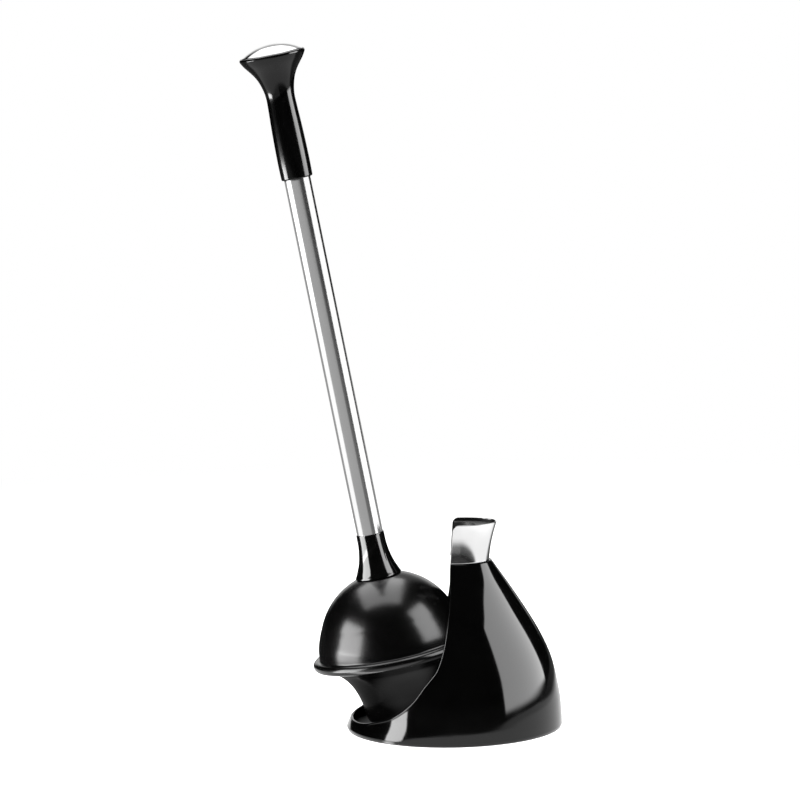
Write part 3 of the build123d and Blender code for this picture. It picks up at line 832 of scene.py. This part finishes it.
floor = floor_mesh()
floor.data.materials.append(stage_material())
build_world()


# ---------------------------------------------------------------- lights (metres)
def link_group(name, objects, exclude=False):
    """Collection for light linking, which includes or excludes its objects."""
    group = bpy.data.collections.new(name)
    for ob in objects:
        group.objects.link(ob)
    if exclude:
        for member in group.collection_objects:
            member.light_linking.link_state = "EXCLUDE"
    return group


def softbox(name, at, aim, size, radiance, edge=0.12, roll=0.0, only=(), skip=()):
    """Rectangular light at a place, facing aim. Its brightness falls off over the share edge of
    each side; it lights only the objects in only, or all but those in skip."""
    width, height = size
    data = bpy.data.lights.new(name, "AREA")
    data.shape = "RECTANGLE"
    data.size, data.size_y = width, height
    data.energy = math.pi * width * height * radiance
    data.use_nodes = True
    graph = Graph(data.node_tree)
    across = graph.xyz(graph.add("ShaderNodeNewGeometry")["Parametric"])
    fades = []
    for axis in ("X", "Y"):
        for share in (across[axis], graph.math("SUBTRACT", 1.0, across[axis])):
            fades.append(graph.step(share, (0.0, edge)))
    graph.set(data.node_tree.nodes["Emission"], {"Strength": graph.times(*fades)})
    light = bpy.data.objects.new(name, data)
    light.location = Vector(at)
    facing = (Vector(aim) - light.location).to_track_quat("-Z", "Y")
    light.rotation_euler = (facing @ Quaternion((0, 0, 1), math.radians(roll))).to_euler()
    light.visible_camera = False
    bpy.context.scene.collection.objects.link(light)
    if only:
        light.light_linking.receiver_collection = link_group(name + "_on", only)
    if skip:
        light.light_linking.receiver_collection = link_group(name + "_not", skip, exclude=True)
    return light


steel = (collar, tube, cap)
right = softbox("box_right", at=(1.16, -0.10, 0.78), aim=(0.03, -0.10, 0.78), size=(1.56, 1.48),
                radiance=7.4, edge=0.04, skip=(grip, cup, neck, *steel))
softbox("box_left", at=(-1.20, -0.37, 0.40), aim=(-0.06, 0.0, 0.40), size=(1.12, 0.85),
        radiance=14.0, edge=0.10, skip=(grip, caddy, cup, *steel))
softbox("box_right_neck", at=(1.08, -0.37, 0.68), aim=(-0.06, 0.0, 0.68), size=(0.88, 1.40),
        radiance=9.0, edge=0.08, only=(neck,))
softbox("box_top", at=(-0.40, 0.42, 1.42), aim=(-0.40, 0.42, 0.0), size=(1.5, 1.9),
        radiance=5.0, skip=(caddy, *steel))
softbox("strip_grip", at=(0.69, -0.09, 0.66), aim=(-0.12, 0.0, 0.52), size=(0.62, 0.6),
        radiance=11.0, edge=0.15, only=(grip,))
softbox("box_left_cup", at=(-1.26, -0.43, 0.37), aim=(-0.08, -0.05, 0.37), size=(1.10, 0.84),
        radiance=13.0, edge=0.14, only=(cup,))
right_cup = softbox("box_right_cup", at=(0.96, -0.43, 0.86), aim=(-0.02, -0.05, 0.095),
                    size=(0.92, 1.16), radiance=8.0, edge=0.16, only=(cup,))
softbox("strip_grip_low", at=(-1.0, -0.12, 0.18), aim=(-0.13, 0.0, 0.48), size=(0.60, 0.16),
        radiance=24.0, edge=0.15, only=(grip,))
softbox("strip_foot", at=(-1.12, -0.50, 0.42), aim=(-0.045, -0.07, 0.02), size=(0.54, 1.4),
        radiance=18.0, edge=0.10, roll=2.0, only=(caddy,))
# the steel parts have dimmer boxes of their own, or their edges burn out
softbox("box_right_steel", at=(1.16, -0.10, 0.75), aim=(0.03, -0.10, 0.75), size=(1.56, 1.50),
        radiance=1.22, edge=0.06, only=steel)
softbox("box_left_steel", at=(-1.26, -0.10, 0.40), aim=(-0.06, -0.04, 0.40), size=(1.10, 0.85),
        radiance=1.30, edge=0.10, only=steel)
softbox("box_top_steel", at=(-0.40, 0.42, 1.42), aim=(-0.40, 0.42, 0.0), size=(1.5, 1.9),
        radiance=1.25, only=steel)
under = softbox("box_under_cup", at=(0.12, -0.26, -0.45), aim=(-0.02, -0.05, 0.05),
                size=(1.9, 1.5), radiance=0.65, edge=0.40, only=(cup,))

# caddy and floor don't block these two cup lights, nor the floor the right box
caddy_nodes = ("caddy_shell collar_sleeve collar_liner base_floor ballast_plate base_pad"
               " base_screws ballast_rivets").split()
caddy_clear = link_group(
    "box_right_cup_clear", [caddy, collar, floor] + [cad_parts[n] for n in caddy_nodes],
    exclude=True)
right_cup.light_linking.blocker_collection = caddy_clear
under.light_linking.blocker_collection = caddy_clear
right.light_linking.blocker_collection = link_group("box_right_clear", [floor], exclude=True)

# ---------------------------------------------------------------- camera (metres)
CAMERA_DISTANCE = 3.70              # from the world origin
CAMERA_ELEVATION = math.radians(12.0)
CAMERA_ROLL = math.radians(1.2)
CAMERA_AIM = Vector((-0.0396742, 0, 0.2782742))
VIEW_WIDTH = 0.6776                 # width in view at CAMERA_DISTANCE


def add_camera():
    place = Vector((0, -CAMERA_DISTANCE * math.cos(CAMERA_ELEVATION),
                    CAMERA_DISTANCE * math.sin(CAMERA_ELEVATION)))
    forward = (CAMERA_AIM - place).normalized()
    level = forward.cross(Vector((0, 0, 1))).normalized()
    upright = level.cross(forward)
    cosine, sine = math.cos(CAMERA_ROLL), math.sin(CAMERA_ROLL)
    across = level * cosine - upright * sine
    up = level * sine + upright * cosine
    data = bpy.data.cameras.new("photo_view")
    data.sensor_width = 36.0
    data.lens = data.sensor_width * CAMERA_DISTANCE / VIEW_WIDTH
    data.clip_end = 50
    camera = bpy.data.objects.new("photo_view", data)
    axes = Matrix((across, up, -forward)).transposed()
    camera.matrix_world = Matrix.Translation(place) @ axes.to_4x4()
    bpy.context.scene.collection.objects.link(camera)
    bpy.context.scene.camera = camera


add_camera()
bpy.context.scene.view_settings.view_transform = "Standard"
